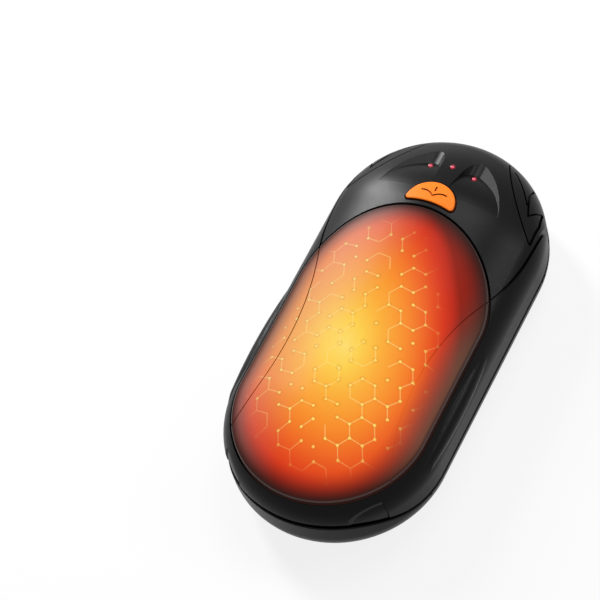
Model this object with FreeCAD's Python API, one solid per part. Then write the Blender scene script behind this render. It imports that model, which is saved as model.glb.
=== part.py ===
"""Rechargeable hand warmer with an animal face: millimetres, +Z out of the belly, +Y to the head.

The origin is the middle of the flat back. The casing is one cross-section carried round a
stadium outline, so every wall, rebate and sheet is the same body moved inwards by an inset.
"""
import FreeCAD
import Part
import functools
import math
import os

# Body
LENGTH = 100.0
WIDTH = 50.0
THICKNESS = 26.0
CROWN_RADIUS = 36.0
FRONT_ROUND = 8.5
BACK_ROUND = 7.0
WALL = 1.8

# Seam between the shells: low along the sides, rising round both ends
SEAM_SIDE_LEVEL = 7.0
SEAM_SIDE_GAP = 0.6
SEAM_END_LEVEL = 11.6
SEAM_END_GAP = 1.4
SEAM_RISE = 20.0
SEAM_OVERRUN = 2.0
SEAM_BEVEL = 0.25
LIP_RECESS = 1.0
LIP_HEIGHT = 1.4
LIP_GAP = 0.1

# Belly panel and the ledge that carries it
PANEL_MARGIN = 2.8
PANEL_FROM_HEAD = 25.0
PANEL_THICKNESS = 1.5
PANEL_PROUD = 0.15
PANEL_GAP = 0.4
PANEL_EDGE_ROUND = 0.4
POCKET_BEVEL = 0.15
LEDGE_WIDTH = 3.2
LEDGE_THICKNESS = 1.4
STAKE_DIAMETER = 1.6
STAKE_FROM_EDGE = 1.5
STAKE_SPACING = 24.0
STAKE_LENGTH = 0.5
CREASE_FROM_TAIL = 15.5
CREASE_DEPTH = 0.75
CREASE_HALF_ANGLE = 52.0
CREASE_FROM_HEAD = 43.5

# Styling lines, as widths, depths and insets from the outline
LINE_WIDTH = 0.45
LINE_DEPTH = 0.45
FINE_LINE_WIDTH = 0.3
FLIPPER_DROP = 14.0
FLIPPER_WAIST = 15.5
FLIPPER_EXIT_ANGLE = -30.0
SHOULDER_INSET = 1.8
SHOULDER_RISE = 12.5
SHOULDER_END_RISE = 25.5
SHOULDER_END_INSET = 2.6
HOOD_LINE = ((67.0, 1.5), (37.0, 5.6), (8.0, 2.3))
FEATHER_LINE = ((47.0, 0.6), (39.0, 2.6), (26.0, 3.4), (32.0, 0.5), (23.0, 1.2), (9.0, 2.3))
INNER_FEATHER = ((60.0, 2.1), (45.0, 3.0), (31.0, 3.4))
FOOT_RECESS = ((-58.0, 0.2), (-39.0, 1.0), (-36.0, -2.0), (-58.0, -2.0))
FOOT_DEPTH = 0.4
FLIPPER_RIDGE_LENGTH = 30.0
FLIPPER_RIDGE_RADIUS = 2.9
FLIPPER_RIDGE_PROUD = 0.8
FLIPPER_RIDGE_ANGLE = 22.0
FLIPPER_RIDGE_FROM_TAIL = 35.7
FLIPPER_RIDGE_FADE = 3.3

# Face: two sockets whose floors roll down from the cheek line to a flat brow, and a bridge between
CHEEK_FROM_HEAD = 20.0
SOCKET_ROLL = 17.5
SOCKET_STEP = 0.03
BROW_CREST_X = 5.4
BROW_CREST_FROM_HEAD = 7.5
BROW_LEAN = 9.6
BROW_ARCH = 3.0
BROW_SPAN = 24.0
BROW_BACKING = 1.2
BRIDGE_WIDTH = 3.8
BRIDGE_SLOPE = 70.0
EYE_SPACING = 10.7
EYE_FROM_HEAD = 12.5
FOREHEAD_FROM_HEAD = 11.9

# Beak button and its switch
BEAK_WIDTH = 11.8
BEAK_HEIGHT = 6.3
BEAK_CORNER = 0.9
BEAK_BASE_RISE = 0.6
BEAK_FROM_PANEL = 0.95
BEAK_PROUD = 0.4
BEAK_EDGE_ROUND = 0.45
BEAK_GAP = 0.25
BEAK_FLANGE = 0.9
BEAK_FLANGE_THICKNESS = 1.0
BEAK_FLANGE_GAP = 0.3
BEAK_STEM_DIAMETER = 3.0
BEAK_LINE_WIDTH = 0.4
BEAK_LINE_DEPTH = 0.3
MOUTH_FROM_BASE = 2.25
MOUTH_WIDTH = 6.2
MOUTH_RISE = 1.0
MOUTH_BEND = 1.05
NOSE_MARK = (1.35, 2.5)
BUTTON_TRAVEL = 0.5
SWITCH_SIZE = 4.5
SWITCH_HEIGHT = 3.5
SWITCH_FROM_BEAK = 4.1
PLUNGER_DIAMETER = 2.5
PLUNGER_RISE = 1.6
PLUNGER_DEPTH = 0.5
PLUNGER_GAP = 0.1
STEM_GAP = 0.05

# Light guide
GUIDE_DIAMETER = 1.5
GUIDE_GAP = 0.05
GUIDE_PROUD = 0.15
GUIDE_DOME = 1.2
GUIDE_BAR = 1.4
GUIDE_BAR_GAP = 1.2
LED_SIZE = (1.6, 0.8, 0.7)
LED_GAP = 0.4

# Heaters, spreader and foam
SHEET_GAP = 0.05
FILM_THICKNESS = 0.25
SPREADER_THICKNESS = 0.6
FRONT_FOAM = 0.6
BACK_FOAM = 0.85
SHEET_MARGIN = 0.6
SPREADER_SETBACK = 3.0
TAIL_WIDTH = 3.0
TAIL_GAP = 0.3
FRONT_TAIL_X = 4.7
BACK_TAIL_X = -4.5
BACK_FILM_WIDTH = 26.0
BACK_FILM_SETBACK = 0.5
BACK_TAIL_LAP = 2.0
BACK_TAIL_LANDING = 2.0

# Cells
CELL_GAP = 0.5
CELL_CLEARANCE = 0.08
CELL_TAIL_ROOM = 1.5
CELL_CAP_DIAMETER = 8.0
CELL_CAP_HEIGHT = 0.8
CELL_NECK = 0.35
CELL_NECK_LENGTH = 2.5
STRIP_THICKNESS = 0.2
STRIP_WIDTH = 6.0
LEAD_DIAMETER = 1.2
LEAD_BEND = 1.4
LEAD_RISE = 3.2
LEAD_LANDING = 1.6
TAB_OVERHANG = 2.0
RIB_THICKNESS = 1.5
RIB_SPREAD = 0.36
RIB_CLEARANCE = 0.1

# Board and what it carries
BOARD_THICKNESS = 1.2
BOARD_WIDTH = 34.0
BOARD_EDGE_GAP = 1.6
BOARD_CELL_GAP = 0.7
BOARD_SWITCH_MARGIN = 0.3
BOARD_CORNER = 2.0
POST_DIAMETER = 4.2
POST_SPACING = 24.0
POST_FROM_HEAD = 12.5
SCREW_DIAMETER = 1.7
SCREW_HEAD_DIAMETER = 3.2
SCREW_HEAD_HEIGHT = 1.1
SCREW_SLOT = (1.9, 0.4)
SCREW_LENGTH = 6.0
SCREW_GAP = 0.05
PILOT_SPARE = 1.0
SCREW_HOLE_GAP = 0.15
SOCKET_WIDTH = 8.94
SOCKET_HEIGHT = 3.26
SOCKET_DEPTH = 7.35
SOCKET_WALL = 0.3
SOCKET_RECESS = 0.9
PORT_GAP = 0.15
PORT_COVER = 0.8
TONGUE_WIDTH = 6.7
TONGUE_THICKNESS = 0.7
TONGUE_LENGTH = 4.4
TONGUE_BLOCK = 1.6
INDUCTOR_SIZE = 6.0
INDUCTOR_HEIGHT = 3.0
CHIP_SIZE = 5.0
CHIP_HEIGHT = 0.9
CAPACITOR_SIZE = (2.0, 1.25, 1.0)
PART_X = 8.2
PART_FROM_SWITCH = 3.2

# Derived places
END_Y = LENGTH / 2
END_CENTRE = (LENGTH - WIDTH) / 2
CROWN_Z = THICKNESS - CROWN_RADIUS
ROUND_X = WIDTH / 2 - FRONT_ROUND
ROUND_Z = CROWN_Z + math.sqrt((CROWN_RADIUS - FRONT_ROUND) ** 2 - ROUND_X ** 2)
CROWN_LEAN = math.asin(ROUND_X / (CROWN_RADIUS - FRONT_ROUND))
REACH = LENGTH + WIDTH
TOUCH = 0.01

PANEL_RADIUS = WIDTH / 2 - PANEL_MARGIN
PANEL_TOP = END_Y - PANEL_FROM_HEAD
PANEL_HEAD_CENTRE = PANEL_TOP - PANEL_RADIUS
RIDGE_ROOT = WALL / 3
LEDGE_INSET = PANEL_THICKNESS + SHEET_GAP
LEDGE_UNDER = LEDGE_INSET + LEDGE_THICKNESS

PORT_HEIGHT = SOCKET_HEIGHT + 2 * PORT_GAP
SOCKET_Z = SEAM_END_LEVEL - PORT_COVER - PORT_HEIGHT / 2
BOARD_UNDER = SOCKET_Z + SOCKET_HEIGHT / 2
BOARD_TOP = BOARD_UNDER + BOARD_THICKNESS
SOCKET_MOUTH = END_Y - SOCKET_RECESS

BEAK_BASE = PANEL_TOP + BEAK_FROM_PANEL
SWITCH_Y = BEAK_BASE + SWITCH_FROM_BEAK
SWITCH_TOP = BOARD_TOP + SWITCH_HEIGHT
PLUNGER_TOP = SWITCH_TOP + PLUNGER_RISE
CHEEK_Y = END_Y - CHEEK_FROM_HEAD
BROW_CREST_Y = END_Y - BROW_CREST_FROM_HEAD
EYE_Y = END_Y - EYE_FROM_HEAD
FOREHEAD_Y = END_Y - FOREHEAD_FROM_HEAD
LED_PLACES = ((-EYE_SPACING / 2, EYE_Y), (0.0, FOREHEAD_Y), (EYE_SPACING / 2, EYE_Y))

FILM_INSET = LEDGE_INSET
SPREADER_INSET = FILM_INSET + FILM_THICKNESS + SHEET_GAP
FOAM_INSET = SPREADER_INSET + SPREADER_THICKNESS + SHEET_GAP
FOAM_UNDER = FOAM_INSET + FRONT_FOAM
SHEET_RADIUS = PANEL_RADIUS - LEDGE_WIDTH - SHEET_MARGIN
BACK_FILM_TOP = WALL + FILM_THICKNESS
BACK_FOAM_LOW = BACK_FILM_TOP + SHEET_GAP
BACK_FOAM_TOP = BACK_FOAM_LOW + BACK_FOAM


def cell_radius():
    """Largest pair of cells that lies between the back foam and the crowned front foam."""
    floor = BACK_FOAM_TOP + CELL_CLEARANCE - CROWN_Z
    roof = CROWN_RADIUS - FOAM_UNDER - CELL_CLEARANCE
    lean = CELL_GAP / 2 + floor + roof
    return math.sqrt(lean ** 2 + roof ** 2 - floor ** 2 - CELL_GAP ** 2 / 4) - lean


CELL_RADIUS = cell_radius()
CELL_X = CELL_RADIUS + CELL_GAP / 2
CELL_Z = BACK_FOAM_TOP + CELL_CLEARANCE + CELL_RADIUS
CAVITY_RADIUS = WIDTH / 2 - WALL
CELL_TAIL = CELL_TAIL_ROOM - END_CENTRE
BOARD_NEAR = SWITCH_Y - SWITCH_SIZE / 2 - BOARD_SWITCH_MARGIN
CELL_HEAD = BOARD_NEAR - BOARD_CELL_GAP - STRIP_THICKNESS


def at(x, y, z=0.0):
    return FreeCAD.Vector(x, y, z)


def segment(start, end):
    return Part.LineSegment(start, end).toShape()


def arc(start, middle, end):
    return Part.Arc(start, middle, end).toShape()


def slab(wire, low, high):
    """A flat outline at height zero, raised between two heights."""
    return Part.Face(wire).extrude(at(0, 0, high - low)).translated(at(0, 0, low))


def mirrored(shape):
    return shape.mirror(at(0, 0), at(1, 0))


def both_sides(shape):
    return shape.fuse(mirrored(shape))


def box(low, high):
    return Part.makeBox(high[0] - low[0], high[1] - low[1], high[2] - low[2], at(*low))


def post(x, y, low, high, diameter):
    return Part.makeCylinder(diameter / 2, high - low, at(x, y, low))


def stadium(low_centre, high_centre, radius):
    """Outline with a round end about each centre on the middle line."""
    right_low, right_high = at(radius, low_centre), at(radius, high_centre)
    left_low, left_high = at(-radius, low_centre), at(-radius, high_centre)
    return Part.Wire([
        segment(right_low, right_high),
        arc(right_high, at(0, high_centre + radius), left_high),
        segment(left_high, left_low),
        arc(left_low, at(0, low_centre - radius), right_low),
    ])


def rounded_box(low, high, corner):
    """A box whose upright edges are rounded."""
    solid = box(low, high)
    upright = [edge for edge in solid.Edges if abs(edge.tangentAt(edge.FirstParameter).z) > 0.99]
    return solid.makeFillet(corner, upright)


def section(inset):
    """Right half of the casing's cross-section moved inwards; every arc keeps its centre."""
    half = WIDTH / 2 - inset
    back = BACK_ROUND - inset
    front = FRONT_ROUND - inset
    crown = CROWN_RADIUS - inset
    back_x = WIDTH / 2 - BACK_ROUND
    diagonal = math.sqrt(0.5)
    turn = (CROWN_LEAN + math.pi / 2) / 2
    middle_back = at(0, 0, inset)
    edge_back = at(back_x, 0, inset)
    on_back = at(back_x + back * diagonal, 0, BACK_ROUND - back * diagonal)
    wall_low = at(half, 0, BACK_ROUND)
    wall_high = at(half, 0, ROUND_Z)
    on_front = at(ROUND_X + front * math.sin(turn), 0, ROUND_Z + front * math.cos(turn))
    shoulder = at(crown * math.sin(CROWN_LEAN), 0, CROWN_Z + crown * math.cos(CROWN_LEAN))
    on_crown = at(crown * math.sin(CROWN_LEAN / 2), 0, CROWN_Z + crown * math.cos(CROWN_LEAN / 2))
    middle_front = at(0, 0, CROWN_Z + crown)
    return Part.Face(Part.Wire([
        segment(middle_back, edge_back),
        arc(edge_back, on_back, wall_low),
        segment(wall_low, wall_high),
        arc(wall_high, on_front, shoulder),
        arc(shoulder, on_crown, middle_front),
        segment(middle_front, middle_back),
    ]))


@functools.cache
def pebble(inset):
    """The whole casing as one solid, moved inwards by an inset."""
    half = section(inset)
    head = half.revolve(at(0, 0), at(0, 0, 1), 180).translated(at(0, END_CENTRE))
    tail = half.revolve(at(0, 0), at(0, 0, 1), -180).translated(at(0, -END_CENTRE))
    right = half.translated(at(0, -END_CENTRE)).extrude(at(0, 2 * END_CENTRE))
    return head.fuse([tail, right, mirrored(right)]).removeSplitter()


@functools.cache
def layer(outer_inset, inner_inset):
    return pebble(outer_inset).cut(pebble(inner_inset))


def surface_height(x, y, inset=0.0):
    """Height of the crowned front over a point of the plan."""
    reach = math.hypot(x, max(0.0, abs(y) - END_CENTRE))
    crown = CROWN_RADIUS - inset
    if reach <= crown * math.sin(CROWN_LEAN):
        return CROWN_Z + math.sqrt(crown ** 2 - reach ** 2)
    return ROUND_Z + math.sqrt((FRONT_ROUND - inset) ** 2 - (reach - ROUND_X) ** 2)


def below_seam(side_level, end_level):
    """Everything under a seam that runs level along the sides and rises towards both ends."""
    start = END_Y - SEAM_RISE
    finish = END_Y + SEAM_OVERRUN
    middle = (start + finish) / 2
    edges = []
    for way in (1, -1):
        curve = Part.BezierCurve()
        curve.setPoles([at(0, way * start, side_level), at(0, way * middle, side_level),
                        at(0, way * middle, end_level), at(0, way * finish, end_level)])
        edges.append(curve.toShape())
        edges.append(segment(at(0, way * finish, end_level), at(0, way * finish, -THICKNESS)))
    edges.append(segment(at(0, start, side_level), at(0, -start, side_level)))
    edges.append(segment(at(0, finish, -THICKNESS), at(0, -finish, -THICKNESS)))
    face = Part.Face(Part.Wire(Part.__sortEdges__(edges)))
    return face.extrude(at(2 * WIDTH, 0)).translated(at(-WIDTH, 0))


def panel_outline(growth):
    return stadium(-END_CENTRE, PANEL_HEAD_CENTRE, PANEL_RADIUS + growth)


def end_point(place, way):
    """A point given as angle and inset about the centre of the head or tail end."""
    angle, inset = place
    reach = WIDTH / 2 - inset
    return at(reach * math.cos(math.radians(angle)), way * END_CENTRE + reach * math.sin(math.radians(angle)))


def arc_ribbon(start, middle, end, width):
    """A line of even width along an arc, as an upright slab through the whole casing."""
    circle = Part.Circle(start, middle, end)
    centre = circle.Center
    sides = []
    for growth in (-width / 2, width / 2):
        points = []
        for point in (start, middle, end):
            away = (point - centre).normalize()
            points.append(point + away * growth)
        sides.append(points)
    inner, outer = sides
    wire = Part.Wire([
        arc(*inner),
        segment(inner[2], outer[2]),
        arc(outer[2], outer[1], outer[0]),
        segment(outer[0], inner[0]),
    ])
    return slab(wire, 0, 2 * THICKNESS)


def line_ribbon(points, width):
    """A line of even width along straight runs, with round joints."""
    solid = None
    for start, end in zip(points, points[1:]):
        along = (end - start).normalize()
        across = at(-along.y, along.x) * (width / 2)
        corners = [start + across, end + across, end - across, start - across]
        run = slab(Part.makePolygon(corners + corners[:1]), 0, 2 * THICKNESS)
        run = run.fuse(post(end.x, end.y, 0, 2 * THICKNESS, width))
        solid = run if solid is None else solid.fuse(run)
    return solid


def flipper_crossing():
    """Where the shoulder line meets the panel's edge."""
    y = PANEL_TOP - FLIPPER_DROP
    return at(math.sqrt(PANEL_RADIUS ** 2 - (y - PANEL_HEAD_CENTRE) ** 2), y)


def flipper_line():
    """The hourglass line that bounds the flipper where it lies over the belly."""
    turn = math.radians(FLIPPER_EXIT_ANGLE)
    start = flipper_crossing()
    leave = at(PANEL_RADIUS * math.cos(turn), PANEL_RADIUS * math.sin(turn) - END_CENTRE)
    waist = at(FLIPPER_WAIST, (start.y + leave.y) / 2)
    return arc_ribbon(start, waist, leave, FINE_LINE_WIDTH)


def shoulder_line():
    start = flipper_crossing()
    middle = at(WIDTH / 2 - SHOULDER_INSET, start.y + SHOULDER_RISE)
    end = at(WIDTH / 2 - SHOULDER_END_INSET, start.y + SHOULDER_END_RISE)
    return arc_ribbon(start, middle, end, LINE_WIDTH)


def styling_cuts():
    """Lines and recesses cut into the front shell's outer skin."""
    lines = [
        shoulder_line(),
        arc_ribbon(*[end_point(place, 1) for place in HOOD_LINE], FINE_LINE_WIDTH),
        line_ribbon([end_point(place, 1) for place in FEATHER_LINE], LINE_WIDTH),
        arc_ribbon(*[end_point(place, 1) for place in INNER_FEATHER], FINE_LINE_WIDTH),
    ]
    engraving = lines[0].fuse(lines[1:]).common(layer(0, LINE_DEPTH))
    corners = [end_point(place, -1) for place in FOOT_RECESS]
    foot = slab(Part.makePolygon(corners + corners[:1]), 0, 2 * THICKNESS).common(layer(0, FOOT_DEPTH))
    return both_sides(engraving.fuse(foot))


def flipper_ridge():
    """Lens-shaped ridge on the shoulder beside the lower belly, which dips under the skin at both ends.

    The tail end is drawn in by a thicker copy of the casing moved towards the head.
    """
    half = FLIPPER_RIDGE_LENGTH * math.sqrt(0.5)
    root = FLIPPER_RIDGE_RADIUS - FLIPPER_RIDGE_PROUD
    tip = root - FLIPPER_RIDGE_PROUD
    low, high = at(tip, -half), at(tip, half)
    profile = Part.Wire([
        arc(low, at(FLIPPER_RIDGE_RADIUS, 0), high),
        segment(high, at(0, half)),
        segment(at(0, half), at(0, -half)),
        segment(at(0, -half), low),
    ])
    spindle = Part.Face(profile).revolve(at(0, 0), at(0, 1), 360)
    reach = FRONT_ROUND - root
    angle = math.radians(FLIPPER_RIDGE_ANGLE)
    x = ROUND_X + reach * math.cos(angle)
    z = ROUND_Z + reach * math.sin(angle)
    spindle.translate(at(x, FLIPPER_RIDGE_FROM_TAIL - END_Y, z))
    return spindle.common(pebble(-FLIPPER_RIDGE_PROUD).translated(at(0, FLIPPER_RIDGE_FADE)))


def socket_floor():
    """Solid whose outer face touches the crown along the cheek line and rolls down towards the brow."""
    lean = math.asin((CHEEK_Y - END_CENTRE) / CROWN_RADIUS)
    axis = at(0, math.cos(lean), -math.sin(lean))
    centre = at(0, END_CENTRE, CROWN_Z)
    return Part.makeTorus(CROWN_RADIUS - SOCKET_ROLL, SOCKET_ROLL - SOCKET_STEP, centre, axis)


def brow_height(x):
    """Height of the flat brow, which meets the crown at the crest and rises outwards."""
    crest = surface_height(BROW_CREST_X, BROW_CREST_Y)
    return crest + (x - BROW_CREST_X) * math.tan(math.radians(BROW_LEAN))


def eye_socket():
    """What is cut away for the right eye: above the flat brow and the rolling floor, beside the bridge.

    The brow turns up into the bridge in a round arch.
    """
    rise = math.tan(math.radians(BROW_LEAN))
    steep = math.tan(math.radians(BRIDGE_SLOPE))
    bridge = surface_height(BRIDGE_WIDTH / 2, CHEEK_Y)
    foot = (BRIDGE_WIDTH / 2 + (bridge - brow_height(0)) / steep) / (1 + rise / steep)
    high = THICKNESS + WALL
    corners = [
        at(BRIDGE_WIDTH / 2 + (bridge - high) / steep, CHEEK_Y, high),
        at(foot, CHEEK_Y, brow_height(foot)),
        at(WIDTH / 2, CHEEK_Y, brow_height(WIDTH / 2)),
        at(WIDTH / 2, CHEEK_Y, max(high, brow_height(WIDTH / 2) + WALL)),
    ]
    depth = END_Y - CHEEK_Y
    wedge = Part.Face(Part.makePolygon(corners + corners[:1])).extrude(at(0, depth))
    corner = corners[1] + at(0, depth / 2)
    inner = min(wedge.Edges, key=lambda edge: edge.CenterOfMass.distanceToPoint(corner))
    return wedge.makeFillet(BROW_ARCH, [inner]).cut(socket_floor())


def beak_outline(growth):
    """Beak outline: a domed top, rounded corners and a base that follows the panel's edge."""
    half = BEAK_WIDTH / 2 + growth
    base = BEAK_BASE - growth
    top = BEAK_BASE + BEAK_HEIGHT + growth
    corner = BEAK_CORNER + growth
    rise = BEAK_BASE_RISE
    shoulder_y = BEAK_BASE + BEAK_CORNER
    base_x = half - corner
    diagonal = math.sqrt(0.5)
    right_side, left_side = at(half, shoulder_y), at(-half, shoulder_y)
    right_foot, left_foot = at(base_x, base), at(-base_x, base)
    right_turn = at(base_x + corner * diagonal, shoulder_y - corner * diagonal)
    left_turn = at(-right_turn.x, right_turn.y)
    return Part.Wire([
        arc(right_side, at(0, top), left_side),
        arc(left_side, left_turn, left_foot),
        arc(left_foot, at(0, base + rise), right_foot),
        arc(right_foot, right_turn, right_side),
    ])


def guide_hole(x, y):
    return post(x, y, 0, 2 * THICKNESS, GUIDE_DIAMETER + 2 * GUIDE_GAP)


def front_cavity():
    """Inside of the front shell, held back where the panel's ledge and the brow need a thicker wall."""
    band = slab(panel_outline(PANEL_GAP + WALL), ROUND_Z, 2 * THICKNESS).cut(pebble(LEDGE_UNDER))
    brow = box((-BROW_SPAN / 2, CHEEK_Y, ROUND_Z), (BROW_SPAN / 2, BROW_CREST_Y, 2 * THICKNESS))
    return pebble(WALL).cut([band, brow.cut(pebble(WALL + BROW_BACKING))])


def panel_recess():
    return slab(panel_outline(PANEL_GAP), ROUND_Z, 2 * THICKNESS).cut(pebble(LEDGE_INSET))


def panel_pocket():
    """Recess down to the ledge, and the opening inside the ledge."""
    return panel_recess().fuse(slab(panel_outline(-LEDGE_WIDTH), ROUND_Z, 2 * THICKNESS))


def lip_rebate():
    """Room inside the front shell's rim for the back shell's lip."""
    height = LIP_HEIGHT + LIP_GAP
    room = below_seam(SEAM_SIDE_LEVEL + SEAM_SIDE_GAP + height, SEAM_END_LEVEL + SEAM_END_GAP + height)
    return pebble(LIP_RECESS - LIP_GAP).common(room)


def beak_opening():
    """Hole for the beak's cap, with a wider well behind it for the flange."""
    well = slab(beak_outline(BEAK_FLANGE + BEAK_FLANGE_GAP), 0, flange_top() + BEAK_FLANGE_GAP)
    return well.fuse(slab(beak_outline(BEAK_GAP), 0, 2 * THICKNESS))


def shared_edges(solid, first, second):
    """A solid's edges that lie on the skins of two other solids."""
    edges = []
    for edge in solid.Edges:
        middle = Part.Vertex(edge.valueAt((edge.FirstParameter + edge.LastParameter) / 2))
        if all(skin.Shells[0].distToShape(middle)[0] < TOUCH for skin in (first, second)):
            edges.append(edge)
    return edges


def front_shell():
    """Front casing with its seam rebate, panel ledge, brow sockets and styling lines."""
    seam = below_seam(SEAM_SIDE_LEVEL + SEAM_SIDE_GAP, SEAM_END_LEVEL + SEAM_END_GAP)
    body = pebble(0).cut(seam)
    body = body.makeChamfer(SEAM_BEVEL, shared_edges(body, seam, pebble(0)))
    body = body.cut(panel_pocket())
    body = body.makeChamfer(POCKET_BEVEL, shared_edges(body, panel_recess(), pebble(0)))
    shell = body.cut(front_cavity())
    shell = shell.fuse(both_sides(flipper_ridge()).cut(pebble(RIDGE_ROOT)))
    shell = shell.cut(styling_cuts()).cut(both_sides(eye_socket()))
    shell = shell.cut(lip_rebate()).cut(beak_opening())
    holes = [guide_hole(x, y) for x, y in LED_PLACES]
    holes += [post(x, y, 0, THICKNESS, STAKE_DIAMETER + 2 * SHEET_GAP) for x, y in stake_places()]
    return shell.cut(holes)


def flange_top():
    """Level under the lowest corner of the shell's inner face round the beak."""
    corner_x = BEAK_WIDTH / 2 + BEAK_FLANGE
    corner_y = BEAK_BASE + BEAK_HEIGHT / 2
    return surface_height(corner_x, corner_y, WALL) - BEAK_FLANGE_GAP


def cap_low():
    """Level of the beak cap's underside, a little below its flange's upper face."""
    return flange_top() - BEAK_LINE_DEPTH


def stake_places():
    x = PANEL_RADIUS - STAKE_FROM_EDGE
    middle = (PANEL_HEAD_CENTRE - END_CENTRE) / 2
    return [(side * x, middle + step * STAKE_SPACING / 2) for side in (-1, 1) for step in (-1, 1)]


def belly_panel():
    """Crowned panel with its flipper lines, belly crease and four stakes through the ledge."""
    blank = slab(panel_outline(0), ROUND_Z, 2 * THICKNESS)
    panel = blank.common(layer(-PANEL_PROUD, PANEL_THICKNESS))
    panel = panel.makeFillet(PANEL_EDGE_ROUND, shared_edges(panel, blank, pebble(-PANEL_PROUD)))
    lines = both_sides(flipper_line()).common(layer(-2 * PANEL_PROUD, LINE_DEPTH - PANEL_PROUD))
    panel = panel.cut(lines).cut(belly_crease())
    for x, y in stake_places():
        low = surface_height(x, y, LEDGE_UNDER) - STAKE_LENGTH
        high = surface_height(x, y, PANEL_THICKNESS / 2)
        panel = panel.fuse(post(x, y, low, high, STAKE_DIAMETER))
    return panel.removeSplitter()


def belly_crease():
    """Lens-shaped crease: a pointed blade drawn along a keel that dips under the panel's face."""
    high = END_Y - CREASE_FROM_HEAD
    low = CREASE_FROM_TAIL - END_Y
    middle = (high + low) / 2
    keel = []
    for step in (-1.0, -0.5, 0.0, 0.5, 1.0):
        y = middle + step * (high - low) / 2
        depth = CREASE_DEPTH * (1 - step ** 2)
        keel.append(at(0, y, surface_height(0, y, -PANEL_PROUD) - depth))
    curve = Part.BSplineCurve()
    curve.interpolate(keel)
    height = 2 * CREASE_DEPTH
    half = height * math.tan(math.radians(CREASE_HALF_ANGLE))
    start = keel[0]
    corners = [start, start + at(half, 0, height), start + at(-half, 0, height)]
    blade = Part.makePolygon(corners + corners[:1])
    return Part.Wire(curve.toShape()).makePipeShell([blade], True, False)


def beak_lines():
    """Gull-wing mouth line with a short mark above it, cut into the button's face."""
    middle = BEAK_BASE + MOUTH_FROM_BASE
    low = at(0, middle)
    lines = []
    for side in (-1, 1):
        corner = at(side * MOUTH_WIDTH / 2, middle + MOUTH_RISE)
        bend = at(side * MOUTH_WIDTH / 4, middle + MOUTH_BEND)
        lines.append(arc_ribbon(low, bend, corner, BEAK_LINE_WIDTH))
    lines.append(line_ribbon([at(0, middle + rise) for rise in NOSE_MARK], BEAK_LINE_WIDTH))
    return lines[0].fuse(lines[1:]).common(layer(-2 * BEAK_PROUD, BEAK_LINE_DEPTH - BEAK_PROUD))


def beak_button():
    """Beak cap standing proud of the face, with its retaining flange and the stem that works the switch."""
    cap = slab(beak_outline(0), cap_low(), 2 * THICKNESS).common(pebble(-BEAK_PROUD))
    top_face = max(cap.Faces, key=lambda face: face.CenterOfMass.z)
    cap = cap.makeFillet(BEAK_EDGE_ROUND, top_face.Edges)
    cap = cap.cut(beak_lines())
    flange = slab(beak_outline(BEAK_FLANGE), flange_top() - BEAK_FLANGE_THICKNESS, flange_top())
    flange = flange.common(box((-WIDTH, BEAK_BASE + BEAK_CORNER + BEAK_FLANGE, 0), (WIDTH, END_Y, THICKNESS)))
    stem = post(0, SWITCH_Y, PLUNGER_TOP + STEM_GAP, flange_top(), BEAK_STEM_DIAMETER)
    return cap.fuse([flange, stem]).removeSplitter()


def back_shell():
    """Back casing with its lip, cell ribs, board posts and charging port."""
    seam = below_seam(SEAM_SIDE_LEVEL, SEAM_END_LEVEL)
    body = pebble(0).common(seam)
    shell = body.makeChamfer(SEAM_BEVEL, shared_edges(body, seam, pebble(0))).cut(pebble(WALL))
    lip = layer(LIP_RECESS, WALL)
    lip = lip.common(below_seam(SEAM_SIDE_LEVEL + SEAM_SIDE_GAP + LIP_HEIGHT,
                                SEAM_END_LEVEL + SEAM_END_GAP + LIP_HEIGHT))
    lip = lip.cut(below_seam(SEAM_SIDE_LEVEL - LIP_HEIGHT, SEAM_END_LEVEL - LIP_HEIGHT))
    shell = shell.fuse(lip)
    shell = shell.fuse(cell_ribs())
    for x, y in post_places():
        pilot_end = BOARD_TOP - SCREW_LENGTH - PILOT_SPARE
        pilot = post(x, y, pilot_end, BOARD_UNDER, SCREW_DIAMETER + 2 * SCREW_GAP)
        shell = shell.fuse(post(x, y, WALL / 2, BOARD_UNDER, POST_DIAMETER)).cut(pilot)
    port = slot_bar(SOCKET_WIDTH + 2 * PORT_GAP, PORT_HEIGHT, END_CENTRE, END_Y + WALL)
    return shell.cut(port).removeSplitter()


def cell_ribs():
    """Upright ribs that cradle the outer flank of each cell."""
    middle = (CELL_TAIL + CELL_HEAD) / 2
    ribs = None
    for step in (-1, 0, 1):
        y = middle + step * RIB_SPREAD * (CELL_HEAD - CELL_TAIL)
        rib = box((BACK_FILM_WIDTH / 2 + SHEET_MARGIN, y - RIB_THICKNESS / 2, WALL / 2),
                  (WIDTH / 2, y + RIB_THICKNESS / 2, CELL_Z))
        room = Part.makeCylinder(CELL_RADIUS + RIB_CLEARANCE, 2 * REACH, at(CELL_X, -REACH, CELL_Z), at(0, 1))
        rib = rib.cut(room).common(pebble(WALL / 2))
        rib = rib.common(below_seam(SEAM_SIDE_LEVEL, SEAM_SIDE_LEVEL))
        ribs = rib if ribs is None else ribs.fuse(rib)
    return both_sides(ribs)


def post_places():
    y = END_Y - POST_FROM_HEAD
    return [(-POST_SPACING / 2, y), (POST_SPACING / 2, y)]


def slot_bar(width, height, near, far):
    """A bar with round sides along Y, the section of the charging socket."""
    radius = height / 2
    straight = width / 2 - radius
    wire = Part.Wire([
        segment(at(-straight, near, SOCKET_Z - radius), at(straight, near, SOCKET_Z - radius)),
        arc(at(straight, near, SOCKET_Z - radius), at(width / 2, near, SOCKET_Z),
            at(straight, near, SOCKET_Z + radius)),
        segment(at(straight, near, SOCKET_Z + radius), at(-straight, near, SOCKET_Z + radius)),
        arc(at(-straight, near, SOCKET_Z + radius), at(-width / 2, near, SOCKET_Z),
            at(-straight, near, SOCKET_Z - radius)),
    ])
    return Part.Face(wire).extrude(at(0, far - near))


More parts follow.
